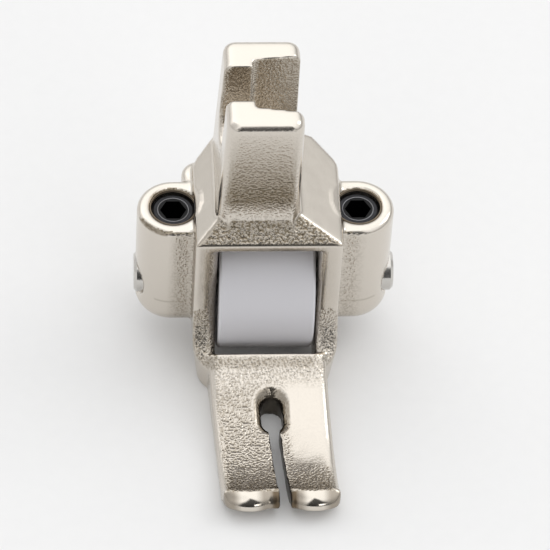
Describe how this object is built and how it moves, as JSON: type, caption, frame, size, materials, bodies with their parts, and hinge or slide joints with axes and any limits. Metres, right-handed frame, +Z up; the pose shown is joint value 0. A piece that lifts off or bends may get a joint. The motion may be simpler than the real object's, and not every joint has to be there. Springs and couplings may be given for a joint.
{
  "type": "sewing machine presser foot",
  "caption": "Roller presser foot: nickel-plated casting with a forked shank, slotted toe and a free-turning plastic roller on an axle clamped by set screws.",
  "frame": {"origin": "where the needle's axis passes the plane of the sole, in the middle of the needle hole", "axes": "+X to the operator's right along the roller's axle, +Y away from the operator, +Z up along the needle"},
  "size_m": [0.0286, 0.037, 0.037],
  "materials": {
    "nickel_casting": "nickel-plated investment casting, grainy as cast with ground tops",
    "white_plastic": "turned white acetal, satin",
    "bright_steel": "ground steel pin",
    "black_oxide": "black oxide on alloy steel"
  },
  "bodies": {
    "foot": {"foot_casting": "nickel_casting", "roller_axle": "bright_steel", "set_screw_left": "black_oxide", "set_screw_right": "black_oxide"},
    "roller": {"pressing_roller": "white_plastic"}
  },
  "joints": [
    {"name": "roller_spin", "type": "hinge", "parent": "foot", "child": "roller", "pos_m": [-0.0005, 0.0153, 0.0085], "axis": [1, 0, 0], "continuous": true}
  ]
}
